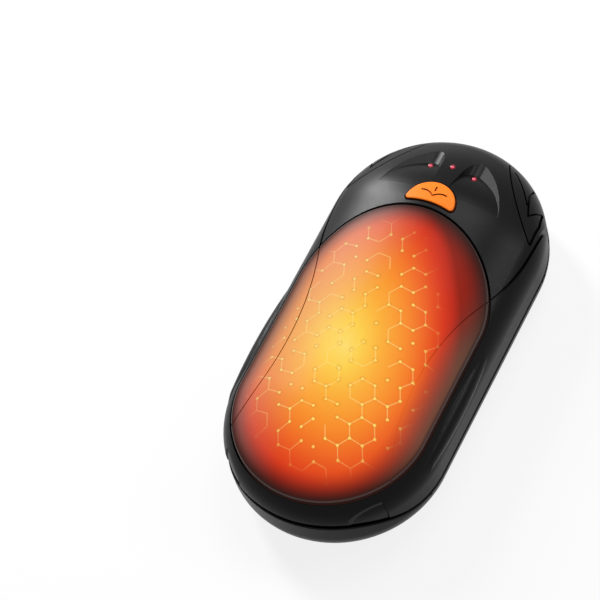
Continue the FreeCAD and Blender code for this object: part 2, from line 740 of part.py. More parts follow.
def charging_socket():
    outer = slot_bar(SOCKET_WIDTH, SOCKET_HEIGHT, SOCKET_MOUTH - SOCKET_DEPTH, SOCKET_MOUTH)
    inner = slot_bar(SOCKET_WIDTH - 2 * SOCKET_WALL, SOCKET_HEIGHT - 2 * SOCKET_WALL,
                     SOCKET_MOUTH - SOCKET_DEPTH + SOCKET_WALL, SOCKET_MOUTH)
    return outer.cut(inner)


def socket_tongue():
    back = SOCKET_MOUTH - SOCKET_DEPTH + SOCKET_WALL
    width = SOCKET_WIDTH - 2 * SOCKET_WALL
    height = SOCKET_HEIGHT - 2 * SOCKET_WALL
    block = slot_bar(width - 2 * SHEET_GAP, height - 2 * SHEET_GAP, back, back + TONGUE_BLOCK)
    blade = box((-TONGUE_WIDTH / 2, back + TONGUE_BLOCK - SHEET_GAP, SOCKET_Z - TONGUE_THICKNESS / 2),
                (TONGUE_WIDTH / 2, back + TONGUE_BLOCK + TONGUE_LENGTH, SOCKET_Z + TONGUE_THICKNESS / 2))
    return block.fuse(blade).removeSplitter()


def light_guide():
    """Three light pipes joined by a bar, each pipe ending in a round tip on the face."""
    low = BOARD_TOP + LED_SIZE[2] + LED_GAP
    inside = WALL + BROW_BACKING
    bar_high = surface_height(EYE_SPACING / 2, FOREHEAD_Y + GUIDE_BAR / 2, inside) - GUIDE_BAR_GAP
    places = [at(x, y) for x, y in LED_PLACES]
    guide = slab(Part.makePolygon(bar_corners(places)), bar_high - GUIDE_BAR, bar_high)
    for x, y in LED_PLACES:
        tip = face_height(x, y) + GUIDE_PROUD
        dome = Part.makeSphere(GUIDE_DOME, at(x, y, tip - GUIDE_DOME))
        pipe = post(x, y, tip - GUIDE_DOME, tip, GUIDE_DIAMETER).common(dome)
        guide = guide.fuse([post(x, y, low, tip - GUIDE_DOME, GUIDE_DIAMETER), pipe])
    return guide.removeSplitter()


def bar_corners(places):
    half = at(0, GUIDE_BAR / 2)
    upper = [place + half for place in places]
    lower = [place - half for place in reversed(places)]
    return upper + lower + upper[:1]


def face_height(x, y):
    """Height of the finished face over a point: the crown, or the socket's floor or brow."""
    crown = surface_height(x, y)
    if abs(x) < BRIDGE_WIDTH / 2:
        return crown
    ray = Part.makeLine(at(x, y, crown - 2 * SOCKET_ROLL), at(x, y, 2 * THICKNESS))
    floor = ray.common(socket_floor()).BoundBox.ZMax
    return min(crown, max(floor, brow_height(abs(x))))


def sheet(outer_inset, thickness, setback):
    """A sheet that follows the panel's underside, short of the panel's head end by a setback."""
    outline = stadium(-END_CENTRE, PANEL_HEAD_CENTRE - setback, SHEET_RADIUS)
    return slab(outline, ROUND_Z, 2 * THICKNESS).common(layer(outer_inset, outer_inset + thickness))


def front_heater_film():
    """Film heater behind the panel, with the tail that bends under the ledge and down to the board."""
    film = sheet(FILM_INSET, FILM_THICKNESS, 0)
    low_x, high_x = FRONT_TAIL_X - TAIL_WIDTH / 2, FRONT_TAIL_X + TAIL_WIDTH / 2
    leave = PANEL_HEAD_CENTRE + math.sqrt(SHEET_RADIUS ** 2 - high_x ** 2) - 2 * SHEET_GAP
    run_z = cap_low() - BUTTON_TRAVEL - TAIL_GAP - FILM_THICKNESS
    drop_y = BOARD_NEAR - FILM_THICKNESS - SHEET_GAP
    top = surface_height(low_x, leave, FILM_INSET + FILM_THICKNESS / 2)
    tail = box((low_x, leave - FILM_THICKNESS, run_z), (high_x, leave, top)).common(pebble(FILM_INSET))
    run_top = run_z + FILM_THICKNESS
    tail = tail.fuse(box((low_x, leave - FILM_THICKNESS, run_z), (high_x, drop_y, run_top)))
    tail = tail.fuse(box((low_x, drop_y - FILM_THICKNESS, BOARD_UNDER), (high_x, drop_y, run_top)))
    return film.fuse(tail).removeSplitter()


def back_sheet(low, high):
    """A flat sheet on the floor of the back shell, round at both ends like the casing."""
    radius = BACK_FILM_WIDTH / 2
    return slab(stadium(-END_CENTRE, CELL_HEAD - BACK_FILM_SETBACK - radius, radius), low, high)


def back_heater_film():
    """Film heater on the back shell's floor, with a tail that rises to the board."""
    film = back_sheet(WALL, BACK_FILM_TOP)
    low_x, high_x = BACK_TAIL_X - TAIL_WIDTH / 2, BACK_TAIL_X + TAIL_WIDTH / 2
    rise_y = BOARD_NEAR + BACK_TAIL_LANDING
    tail = box((low_x, CELL_HEAD - BACK_TAIL_LAP, WALL), (high_x, rise_y, BACK_FILM_TOP))
    tail = tail.fuse(box((low_x, rise_y - FILM_THICKNESS, WALL), (high_x, rise_y, BOARD_UNDER)))
    return film.fuse(tail).removeSplitter()


def cell():
    """One cell along +Y from the origin: can, crimped neck, and cap at the far end."""
    length = CELL_HEAD - CELL_TAIL
    can = length - CELL_CAP_HEIGHT
    neck = CELL_NECK_LENGTH
    points = [
        (0, 0), (CELL_RADIUS, 0), (CELL_RADIUS, can - 2 * neck), (CELL_RADIUS - CELL_NECK, can - 1.6 * neck),
        (CELL_RADIUS, can - 1.2 * neck), (CELL_RADIUS, can), (CELL_CAP_DIAMETER / 2, can),
        (CELL_CAP_DIAMETER / 2, length), (0, length), (0, 0),
    ]
    profile = Part.Face(Part.makePolygon([at(x, y) for x, y in points]))
    return profile.revolve(at(0, 0), at(0, 1), 360)


def right_cell():
    return cell().translated(at(CELL_X, CELL_TAIL, CELL_Z))


def left_cell():
    turned = cell()
    turned.rotate(at(0, 0), at(0, 0, 1), 180)
    return turned.translated(at(-CELL_X, CELL_HEAD, CELL_Z))


def tail_link_strip():
    half = CELL_X + STRIP_WIDTH / 2
    return rounded_plate_xz(-half, half, CELL_Z, STRIP_WIDTH, CELL_TAIL - STRIP_THICKNESS)


def end_tab(x):
    half = STRIP_WIDTH / 2
    return rounded_plate_xz(x - half, x + half, CELL_Z, STRIP_WIDTH + TAB_OVERHANG, CELL_HEAD)


def rounded_plate_xz(low_x, high_x, middle_z, height, near):
    """A thin nickel plate that stands across the cells' ends, with rounded corners."""
    corner = STRIP_WIDTH / 4
    plate = box((low_x, near, middle_z - height / 2), (high_x, near + STRIP_THICKNESS, middle_z + height / 2))
    short = [edge for edge in plate.Edges if abs(edge.tangentAt(edge.FirstParameter).y) > 0.99]
    return plate.makeFillet(corner, short)


def lead(x):
    """Insulated wire from a tab over to the board: out, round one bend and down."""
    start = CELL_HEAD + STRIP_THICKNESS
    level = BOARD_TOP + LEAD_RISE
    land = BOARD_NEAR + LEAD_LANDING
    middle = math.sqrt(0.5) * LEAD_BEND
    path = Part.Wire([
        segment(at(x, start, level), at(x, land - LEAD_BEND, level)),
        arc(at(x, land - LEAD_BEND, level), at(x, land - LEAD_BEND + middle, level - LEAD_BEND + middle),
            at(x, land, level - LEAD_BEND)),
        segment(at(x, land, level - LEAD_BEND), at(x, land, BOARD_TOP)),
    ])
    ring = Part.Wire(Part.makeCircle(LEAD_DIAMETER / 2, at(x, start, level), at(0, 1)))
    return path.makePipeShell([ring], True, False)


def main_board():
    """Board shaped to the head, with holes for its two screws and a notch for the rising film tail."""
    radius = CAVITY_RADIUS - BOARD_EDGE_GAP
    round_end = post(0, END_CENTRE, BOARD_UNDER, BOARD_TOP, 2 * radius)
    half = BOARD_WIDTH / 2
    blank = rounded_box((-half, BOARD_NEAR, BOARD_UNDER), (half, END_Y, BOARD_TOP), BOARD_CORNER)
    board = blank.common(round_end)
    for x, y in post_places():
        board = board.cut(post(x, y, 0, THICKNESS, SCREW_DIAMETER + 2 * SCREW_HOLE_GAP))
    return board


def board_screws():
    """Pan-head screws that hold the board on its posts."""
    screws = []
    for x, y in post_places():
        head = post(x, y, BOARD_TOP, BOARD_TOP + SCREW_HEAD_HEIGHT, SCREW_HEAD_DIAMETER)
        rim = [edge for edge in head.Edges if edge.BoundBox.ZMin > BOARD_TOP + SCREW_HEAD_HEIGHT / 2]
        head = head.makeFillet(SCREW_HEAD_HEIGHT / 3, rim)
        arm, half_slot = SCREW_SLOT[0] / 2, SCREW_SLOT[1] / 2
        for turn in (0, 90):
            slot = box((-arm, -half_slot, 0), (arm, half_slot, SCREW_HEAD_HEIGHT))
            slot.rotate(at(0, 0), at(0, 0, 1), turn)
            head = head.cut(slot.translated(at(x, y, BOARD_TOP + SCREW_HEAD_HEIGHT / 2)))
        shank = post(x, y, BOARD_TOP - SCREW_LENGTH, BOARD_TOP, SCREW_DIAMETER)
        screws.append(head.fuse(shank).removeSplitter())
    return Part.makeCompound(screws)


def switch_body():
    body = chip(0, SWITCH_Y, SWITCH_SIZE, SWITCH_SIZE, SWITCH_HEIGHT, SWITCH_SIZE / 10)
    well = SWITCH_TOP - PLUNGER_DEPTH - 2 * BUTTON_TRAVEL
    return body.cut(post(0, SWITCH_Y, well, SWITCH_TOP, PLUNGER_DIAMETER + 2 * PLUNGER_GAP))


def switch_plunger():
    plunger = post(0, SWITCH_Y, SWITCH_TOP - PLUNGER_DEPTH, PLUNGER_TOP, PLUNGER_DIAMETER)
    rim = [edge for edge in plunger.Edges if edge.BoundBox.ZMin > SWITCH_TOP]
    return plunger.makeChamfer(PLUNGER_DIAMETER / 10, rim)


def chip(x, y, size_x, size_y, height, corner):
    low = (x - size_x / 2, y - size_y / 2, BOARD_TOP)
    high = (x + size_x / 2, y + size_y / 2, BOARD_TOP + height)
    return rounded_box(low, high, corner)


def indicator_leds():
    wide, deep, tall = LED_SIZE
    return Part.makeCompound([chip(x, y, wide, deep, tall, deep / 8) for x, y in LED_PLACES])


def power_inductor():
    size = INDUCTOR_SIZE
    block = chip(-PART_X, SWITCH_Y + PART_FROM_SWITCH, size, size, INDUCTOR_HEIGHT, size / 5)
    top = [edge for edge in block.Edges if edge.BoundBox.ZMin > BOARD_TOP + INDUCTOR_HEIGHT / 2]
    return block.makeFillet(INDUCTOR_HEIGHT / 8, top)


def controller_chip():
    return chip(PART_X, SWITCH_Y + PART_FROM_SWITCH, CHIP_SIZE, CHIP_SIZE, CHIP_HEIGHT, CHIP_SIZE / 20)


def board_capacitors():
    wide, deep, tall = CAPACITOR_SIZE
    y = END_Y - POST_FROM_HEAD + POST_DIAMETER
    places = [(step * 2 * wide, y) for step in (-1, 0, 1)]
    return Part.makeCompound([chip(x, place, wide, deep, tall, deep / 8) for x, place in places])


NODES = {
    "front_shell": front_shell,
    "back_shell": back_shell,
    "belly_panel": belly_panel,
    "beak_button": beak_button,
    "light_guide": light_guide,
    "front_heater_film": front_heater_film,
    "front_heat_spreader": lambda: sheet(SPREADER_INSET, SPREADER_THICKNESS, SPREADER_SETBACK),
    "front_insulation": lambda: sheet(FOAM_INSET, FRONT_FOAM, SPREADER_SETBACK),
    "back_heater_film": back_heater_film,
    "back_insulation": lambda: back_sheet(BACK_FOAM_LOW, BACK_FOAM_TOP),
    "right_cell": right_cell,
    "left_cell": left_cell,
    "tail_link_strip": tail_link_strip,
    "positive_tab": lambda: end_tab(CELL_X),
    "negative_tab": lambda: end_tab(-CELL_X),
    "positive_lead": lambda: lead(CELL_X),
    "negative_lead": lambda: lead(-CELL_X),
    "main_board": main_board,
    "board_screws": board_screws,
    "charging_socket": charging_socket,
    "socket_tongue": socket_tongue,
    "switch_body": switch_body,
    "switch_plunger": switch_plunger,
    "indicator_leds": indicator_leds,
    "power_inductor": power_inductor,
    "controller_chip": controller_chip,
    "board_capacitors": board_capacitors,
}

os.makedirs("parts", exist_ok=True)
for name, make in NODES.items():
    shape = make()
    shape.exportStep(f"parts/{name}.step")
    print(f"{name:20s} solids {len(shape.Solids)} valid {shape.isValid()} volume {shape.Volume:9.1f}")
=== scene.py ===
"""Finishes, studio and camera for the rechargeable hand warmer.

Lengths are metres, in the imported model's frame.
"""
import math

import bpy
from mathutils import Matrix, Vector


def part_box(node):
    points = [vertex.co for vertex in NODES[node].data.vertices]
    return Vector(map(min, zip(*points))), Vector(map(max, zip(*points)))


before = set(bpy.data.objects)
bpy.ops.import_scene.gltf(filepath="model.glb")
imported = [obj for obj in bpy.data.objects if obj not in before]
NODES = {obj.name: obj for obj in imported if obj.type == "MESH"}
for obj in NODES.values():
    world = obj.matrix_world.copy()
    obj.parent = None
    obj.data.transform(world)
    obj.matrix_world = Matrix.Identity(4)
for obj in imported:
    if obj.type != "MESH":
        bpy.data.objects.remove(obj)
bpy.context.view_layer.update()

MM = 0.001

# Camera, read from the photograph: the warmer lies on its back and is seen from above its tail
CAMERA_AZIMUTH = 41.788
CAMERA_ELEVATION = 56.742
CAMERA_ROLL = -18.298
CAMERA_DISTANCE = 761.8 * MM
CAMERA_LENS_MM = 206.6
CAMERA_SENSOR_MM = 36.0
CAMERA_CLIP = 10.0 * MM
CAMERA_AIM = Vector((-21.56, 0.37, 13.0)) * MM

# Studio: a tall box on the left for the cheek, a wide one over the brows, a weak one for the right shoulder
WHITE = (1.0, 1.0, 1.0, 1.0)
FLOOR_SIZE = 6.0
FLOOR_WHITE_SHARE = 0.85
WORLD_STRENGTH = 0.06
SOFTBOXES = {
    "softbox_left": {"place": (-0.59, 0.39, 0.38), "size": (0.15, 0.54), "watts": 9.0},
    "softbox_over": {"place": (0.06, 0.53, 0.84), "size": (0.52, 0.38), "watts": 4.2},
    "softbox_right": {"place": (0.52, 0.35, 0.50), "size": (0.20, 0.20), "watts": 1.1},
}

# Every finish: where its two colours stand on the pattern, how far its gloss strays, how fine its noise is
DARK_AT = 0.25
LIGHT_AT = 0.75
GLOSS_SPREAD = 0.15
NOISE_DETAIL = 3.0

# Sockets of the Mix node that share a name, by place
VECTOR_A, VECTOR_B, VECTOR_OUT = 4, 5, 1
COLOUR_A, COLOUR_B, COLOUR_OUT = 6, 7, 2

# The panel's outline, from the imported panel, and the radii of the crowned faces of panel and beak
PANEL_LOW, PANEL_HIGH = (Vector(corner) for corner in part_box("belly_panel"))
PANEL_RADIUS = (PANEL_HIGH.x - PANEL_LOW.x) / 2
PANEL_HEAD_CENTRE = PANEL_HIGH.y - PANEL_RADIUS
PANEL_TAIL_CENTRE = PANEL_LOW.y + PANEL_RADIUS
END_CENTRE = -PANEL_TAIL_CENTRE
PANEL_CROWN = 36.15 * MM
BEAK_CROWN = 36.4 * MM
CROWN_CENTRE = PANEL_HIGH.z - PANEL_CROWN

# Painted belly glow: yellow at its middle, leaning to the left towards the head
GLOW_X = -1.5 * MM
GLOW_Y = -13.0 * MM
GLOW_TO_RIGHT = 24.5 * MM
GLOW_TO_LEFT = 33.0 * MM
GLOW_TO_HEAD = 43.0 * MM
GLOW_TO_TAIL = 36.0 * MM
GLOW_LEAN = 0.2
GLOW_FADE = (-0.5 * MM, 5.8 * MM)

# Painted sheen along the panel's left side, and the painted glow that falls off brown along its right side
SHEEN_LEAN = 0.2
SHEEN_SPAN = (4.0 * MM, 18.0 * MM)
SHEEN_FADE = 2.5 * MM
SHEEN_DIMMING = 0.24
LEAK_ASIDE = (8.0 * MM, 18.0 * MM)
LEAK_TO_HEAD = (12.0 * MM, -6.0 * MM)
LEAK_TO_TAIL = (-42.0 * MM, -24.0 * MM)
LEAK_FROM_EDGE = (0.1 * MM, 0.9 * MM)
LEAK_WIDENING = 2.0 * MM

# The panel's satin face and polished rim
PANEL_GLOSS = 0.02
RIM_GLOSS = 0.4
RIM_WIDTH = 0.32 * MM

# Conductor lines and pads of the film, drawn in the painted glow as if seen through the panel
TRACE_PITCH = 5.2 * MM
TRACE_TURN = 24.0
TRACE_HALF_WIDTH = 0.14 * MM
TRACE_CORE = 0.4
TRACE_SHARE = 0.58
TRACE_STRENGTH = 0.5
TRACE_FADE = (2.0 * MM, 6.0 * MM)
TRACE_REACH = (0.88, 0.56)
PAD_RADIUS = 0.44 * MM
PAD_STRENGTH = 0.9
PAD_SHADE_RADIUS = 0.85 * MM
PAD_SHADE_STRENGTH = 0.28
PAD_CORE = 0.5
PAD_SHARE = 0.8

# Their net of hexagons, in pitches: its rows, and from a tile's middle to its edges and corners
HEXAGON_ROWS = math.sqrt(3.0)
TILE_TO_EDGE = 0.5
TILE_TO_CORNER = 1 / HEXAGON_ROWS
SIXTH = math.pi / 3
SPOT_SHIFT = 0.03
SPOT_STEP = 0.1

# Engraved lines, darkened with painted shade, and how far the beak's face looks up where the painted shade
# round its rim starts and is full
GROOVE_DEPTH = (0.08 * MM, 0.25 * MM)
FLIPPER_FROM_MIDDLE = 6.0 * MM
FLIPPER_FROM_EDGE = 0.9 * MM
FLIPPER_FADE = (-14.0 * MM, 18.0 * MM)
FLIPPER_LEAST = 0.1
BEAK_SHADE_FACING = (0.85, 0.6)

# Light-pipe tips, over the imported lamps
LED_LOW, LED_HIGH = (Vector(corner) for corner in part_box("indicator_leds"))
LED_HALF_SIZE = Vector((0.8, 0.4, 0.0)) * MM
EYE_PLACE = Vector((LED_HIGH.x - LED_HALF_SIZE.x, LED_LOW.y + LED_HALF_SIZE.y, 0.0))
FOREHEAD_PLACE = Vector((0.0, LED_HIGH.y - LED_HALF_SIZE.y, 0.0))
LEVEL_ONLY = (1.0, 1.0, 0.0)
TIP_RADIUS = 0.75 * MM

# Patterns inside: heater tracks, foam cells, and board tracks with the pattern's level on and off them
HEATER_PITCH = 2.4 * MM
HEATER_WINDING = 3.0
HEATER_WINDING_SCALE = 0.6
WAVE_TURN = 20.0
FOAM_CELL = 0.5 * MM
BOARD_TRACK_LENGTH = 5.0 * MM
BOARD_TRACK_PITCH = 0.8 * MM
BOARD_TRACK_WIDTH = 0.12 * MM
BOARD_LEVELS = {"Color1": 0.2, "Color2": 0.45, "Mortar": 0.9}


def linear(colour):
    """An sRGB hex value as linear red, green, blue and full alpha."""
    parts = [int(colour[i:i + 2], 16) / 255 for i in (1, 3, 5)]
    return tuple(p / 12.92 if p <= 0.04045 else ((p + 0.055) / 1.055) ** 2.4 for p in parts) + (1.0,)


def add(tree, kind, inputs=None, out=0, **settings):
    """Adds a node and returns one of its outputs.

    An input takes a value, or a socket that it is linked to.
    """
    made = tree.nodes.new(kind)
    for name, value in settings.items():
        if name == "stops":
            set_stops(made.color_ramp.elements, value)
        else:
            setattr(made, name, value)
    for socket, value in (inputs or {}).items():
        if isinstance(value, bpy.types.NodeSocket):
            tree.links.new(value, made.inputs[socket])
        else:
            made.inputs[socket].default_value = value
    return made.outputs[out] if made.outputs else made


def set_stops(elements, stops):
    """Colour stops of a ramp, as position and hex colour."""
    while len(elements) < len(stops):
        elements.new(1.0)
    for element, (position, colour) in zip(elements, stops):
        element.position = position
        element.color = linear(colour)


def surface(name, dark, light, roughness, relief, pattern, values):
    """A finish whose colour, gloss and relief follow one pattern that runs from nought to one."""
    made = bpy.data.materials.new(name)
    made.use_nodes = True
    tree = made.node_tree
    tree.nodes.clear()
    place = add(tree, "ShaderNodeTexCoord", out="Object")
    share = pattern(tree, place)
    inputs = {
        "Base Color": add(tree, "ShaderNodeValToRGB", {"Fac": share}, stops=[
            (DARK_AT, dark), (LIGHT_AT, light)]),
        "Roughness": add(tree, "ShaderNodeMapRange", {
            "Value": share, "To Min": (1 - GLOSS_SPREAD) * roughness,
            "To Max": (1 + GLOSS_SPREAD) * roughness}),
        "Normal": add(tree, "ShaderNodeBump", {"Height": share, "Distance": relief, "Strength": 1.0}),
    }
    shader = add(tree, "ShaderNodeBsdfPrincipled", {**inputs, **values}).node
    add(tree, "ShaderNodeOutputMaterial", {"Surface": shader.outputs["BSDF"]})
    return made, tree, shader, place


def finish(names, made):
    """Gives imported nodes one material."""
    for name in names:
        NODES[name].data.materials.clear()
        NODES[name].data.materials.append(made)


def speckle(size):
    """Even grain of a moulded or cast surface, drawn coarser than the real grain so that it shows."""
    def pattern(tree, place):
        return add(tree, "ShaderNodeTexNoise", {
            "Vector": place, "Scale": 1 / size, "Detail": NOISE_DETAIL})
    return pattern


def drawn_lines(size, length, axis):
    """Fine lines along one axis, as rolling, brushing or drawing leaves them, coarse enough to show."""
    def pattern(tree, place):
        scale = [1 / size] * 3
        scale[axis] = 1 / length
        stretched = add(tree, "ShaderNodeMapping", {"Vector": place, "Scale": scale})
        return add(tree, "ShaderNodeTexNoise", {
            "Vector": stretched, "Scale": 1.0, "Detail": NOISE_DETAIL})
    return pattern


def casing_finish():
    """Black ABS from a polished tool: deep black with broad, soft reflections of the lamps."""
    return surface("gloss_black_abs", "#030304", "#060607", 0.34, 0.0006 * MM, speckle(0.9 * MM), {
        "IOR": 1.5, "Specular IOR Level": 0.1})[0]


def edge_distance(tree, axes):
    """How far a point of the panel lies inside its stadium outline."""
    past_head = add(tree, "ShaderNodeMath", {0: axes["Y"], 1: PANEL_HEAD_CENTRE}, operation="SUBTRACT")
    past_tail = add(tree, "ShaderNodeMath", {0: PANEL_TAIL_CENTRE, 1: axes["Y"]}, operation="SUBTRACT")
    past_end = add(tree, "ShaderNodeMath", {0: past_head, 1: past_tail}, operation="MAXIMUM")
    past_end = add(tree, "ShaderNodeMath", {0: past_end, 1: 0.0}, operation="MAXIMUM")
    across = add(tree, "ShaderNodeCombineXYZ", {"X": axes["X"], "Y": past_end})
    reach = add(tree, "ShaderNodeVectorMath", {0: across}, out="Value", operation="LENGTH")
    return add(tree, "ShaderNodeMath", {0: PANEL_RADIUS, 1: reach}, operation="SUBTRACT")


def groove_share(tree, axes, crown):
    """One at the bottom of an engraved line, which lies under the crown, and nought on the face; it places
    painted shade.
    """
    past_end = add(tree, "ShaderNodeMath", {0: axes["Y"]}, operation="ABSOLUTE")
    past_end = add(tree, "ShaderNodeMath", {0: past_end, 1: END_CENTRE}, operation="SUBTRACT")
    past_end = add(tree, "ShaderNodeMath", {0: past_end, 1: 0.0}, operation="MAXIMUM")
    height = add(tree, "ShaderNodeMath", {0: axes["Z"], 1: CROWN_CENTRE}, operation="SUBTRACT")
    from_axis = add(tree, "ShaderNodeCombineXYZ", {"X": axes["X"], "Y": past_end, "Z": height})
    radius = add(tree, "ShaderNodeVectorMath", {0: from_axis}, out="Value", operation="LENGTH")
    depth = add(tree, "ShaderNodeMath", {0: crown, 1: radius}, operation="SUBTRACT")
    return add(tree, "ShaderNodeMapRange", {
        "Value": depth, "From Min": GROOVE_DEPTH[0], "From Max": GROOVE_DEPTH[1],
    }, interpolation_type="SMOOTHSTEP")


def flipper_share(tree, axes, inside):
    """The two flipper lines on the belly, darkened with painted shade; the right one dies away towards the
    tail.
    """
    aside = add(tree, "ShaderNodeMath", {0: axes["X"]}, operation="ABSOLUTE")
    aside = add(tree, "ShaderNodeMath", {0: aside, 1: FLIPPER_FROM_MIDDLE}, operation="GREATER_THAN")
    within = add(tree, "ShaderNodeMath", {0: inside, 1: FLIPPER_FROM_EDGE}, operation="GREATER_THAN")
    left = add(tree, "ShaderNodeMath", {0: axes["X"], 1: 0.0}, operation="LESS_THAN")
    groove_shade = groove_share(tree, axes, PANEL_CROWN)
    shown = add(tree, "ShaderNodeMapRange", {
        "Value": axes["Y"], "From Min": FLIPPER_FADE[0], "From Max": FLIPPER_FADE[1],
        "To Min": FLIPPER_LEAST})
    shown = add(tree, "ShaderNodeMath", {0: shown, 1: left}, operation="MAXIMUM")
    for share in (aside, within, groove_shade):
        shown = add(tree, "ShaderNodeMath", {0: shown, 1: share}, operation="MULTIPLY")
    return shown


def hexagon_tiles(tree, place):
    """Hexagon tiles of unit pitch: the offset from the nearest tile's middle, and that middle."""
    flat = add(tree, "ShaderNodeMapping", {
        "Vector": place, "Rotation": (0.0, 0.0, math.radians(-TRACE_TURN)),
        "Scale": (1 / TRACE_PITCH, 1 / TRACE_PITCH, 0.0)})
    period = Vector((1.0, HEXAGON_ROWS, 1.0))
    half = Vector((0.5, HEXAGON_ROWS / 2, 0.0))
    offsets = []
    for shift in (Vector(), half):
        moved = add(tree, "ShaderNodeVectorMath", {0: flat, 1: shift}, operation="SUBTRACT")
        turn = add(tree, "ShaderNodeVectorMath", {0: moved, 1: period, 2: Vector()}, operation="WRAP")
        offsets.append(add(tree, "ShaderNodeVectorMath", {0: turn, 1: half}, operation="SUBTRACT"))
    first, second = [
        add(tree, "ShaderNodeVectorMath", {0: offset}, out="Value", operation="LENGTH")
        for offset in offsets]
    nearer = add(tree, "ShaderNodeMath", {0: second, 1: first}, operation="LESS_THAN")
    offset = add(tree, "ShaderNodeMix", {
        "Factor": nearer, VECTOR_A: offsets[0], VECTOR_B: offsets[1],
    }, out=VECTOR_OUT, data_type="VECTOR")
    middle = add(tree, "ShaderNodeVectorMath", {0: flat, 1: offset}, operation="SUBTRACT")
    return offset, middle


def nearest_of_six(tree, offset, middle, turn, reach):
    """The nearest of six points round a tile: how far the offset goes its way, its gap, its chance number.

    The turn is a share of a sixth: nought for the middles of the tile's edges, a half for its corners.
    """
    axes = add(tree, "ShaderNodeSeparateXYZ", {"Vector": offset}).node.outputs
    angle = add(tree, "ShaderNodeMath", {0: axes["Y"], 1: axes["X"]}, operation="ARCTAN2")
    sixth = add(tree, "ShaderNodeMath", {
        0: angle, 1: 1 / SIXTH, 2: 0.5 - turn}, operation="MULTIPLY_ADD")
    sixth = add(tree, "ShaderNodeMath", {0: sixth}, operation="FLOOR")
    sixth = add(tree, "ShaderNodeMath", {0: sixth, 1: turn}, operation="ADD")
    angle = add(tree, "ShaderNodeMath", {0: sixth, 1: SIXTH}, operation="MULTIPLY")
    way = add(tree, "ShaderNodeCombineXYZ", {
        "X": add(tree, "ShaderNodeMath", {0: angle}, operation="COSINE"),
        "Y": add(tree, "ShaderNodeMath", {0: angle}, operation="SINE")})
    along = add(tree, "ShaderNodeVectorMath", {0: offset, 1: way}, out="Value", operation="DOT_PRODUCT")
    point = add(tree, "ShaderNodeVectorMath", {0: way, "Scale": reach}, operation="SCALE")
    gap = add(tree, "ShaderNodeVectorMath", {0: offset, 1: point}, out="Value", operation="DISTANCE")
    # The point is set on a coarse grid, so that it draws one number from every tile that meets it
    spot = add(tree, "ShaderNodeVectorMath", {0: middle, 1: point}, operation="ADD")
    spot = add(tree, "ShaderNodeVectorMath", {0: spot, 1: (SPOT_SHIFT, SPOT_SHIFT, 0.0)}, operation="ADD")
    spot = add(tree, "ShaderNodeVectorMath", {0: spot, 1: [SPOT_STEP] * 3}, operation="SNAP")
    chance = add(tree, "ShaderNodeTexWhiteNoise", {"Vector": spot}, noise_dimensions="3D")
    return along, gap, chance


def trace_shares(tree, place):
    """Fine conductor lines along some hexagon edges, round pads at some corners, and each pad's shade."""
    offset, middle = hexagon_tiles(tree, place)
    along, _, chance = nearest_of_six(tree, offset, middle, 0.0, TILE_TO_EDGE)
    from_edge = add(tree, "ShaderNodeMath", {0: TILE_TO_EDGE, 1: along}, operation="SUBTRACT")
    half_width = TRACE_HALF_WIDTH / TRACE_PITCH
    line = add(tree, "ShaderNodeMapRange", {
        "Value": from_edge, "From Min": half_width, "From Max": TRACE_CORE * half_width,
        "To Max": TRACE_STRENGTH}, interpolation_type="SMOOTHSTEP")
    shown = add(tree, "ShaderNodeMath", {0: chance, 1: TRACE_SHARE}, operation="LESS_THAN")
    shares = [add(tree, "ShaderNodeMath", {0: line, 1: shown}, operation="MULTIPLY")]
    _, gap, chance = nearest_of_six(tree, offset, middle, 0.5, TILE_TO_CORNER)
    shown = add(tree, "ShaderNodeMath", {0: chance, 1: PAD_SHARE}, operation="LESS_THAN")
    for radius, strength in ((PAD_RADIUS, PAD_STRENGTH), (PAD_SHADE_RADIUS, PAD_SHADE_STRENGTH)):
        disc = add(tree, "ShaderNodeMapRange", {
            "Value": gap, "From Min": radius / TRACE_PITCH, "From Max": PAD_CORE * radius / TRACE_PITCH,
            "To Max": strength}, interpolation_type="SMOOTHSTEP")
        shares.append(add(tree, "ShaderNodeMath", {0: disc, 1: shown}, operation="MULTIPLY"))
    return shares


def glow_reach(tree, axes, along, ahead):
    """How far a point lies from the hottest spot, where the painted glow is brightest: nought there, one
    where it ends.
    """
    behind = add(tree, "ShaderNodeMath", {0: along, 1: 0.0}, operation="MINIMUM")
    aside = add(tree, "ShaderNodeMath", {0: along, 1: GLOW_LEAN, 2: axes["X"]}, operation="MULTIPLY_ADD")
    aside = add(tree, "ShaderNodeMath", {0: aside, 1: GLOW_X}, operation="SUBTRACT")
    left = add(tree, "ShaderNodeMath", {0: aside, 1: 0.0}, operation="MINIMUM")
    left = add(tree, "ShaderNodeMath", {0: left, 1: GLOW_TO_LEFT}, operation="DIVIDE")
    right = add(tree, "ShaderNodeMath", {0: aside, 1: 0.0}, operation="MAXIMUM")
    width = add(tree, "ShaderNodeMath", {
        0: right, 1: 1 / GLOW_TO_RIGHT, 2: left}, operation="MULTIPLY_ADD")
    forward = add(tree, "ShaderNodeMath", {0: ahead, 1: GLOW_TO_HEAD}, operation="DIVIDE")
    length = add(tree, "ShaderNodeMath", {
        0: behind, 1: 1 / GLOW_TO_TAIL, 2: forward}, operation="MULTIPLY_ADD")
    scaled = add(tree, "ShaderNodeCombineXYZ", {"X": width, "Y": length})
    return add(tree, "ShaderNodeVectorMath", {0: scaled}, out="Value", operation="LENGTH")


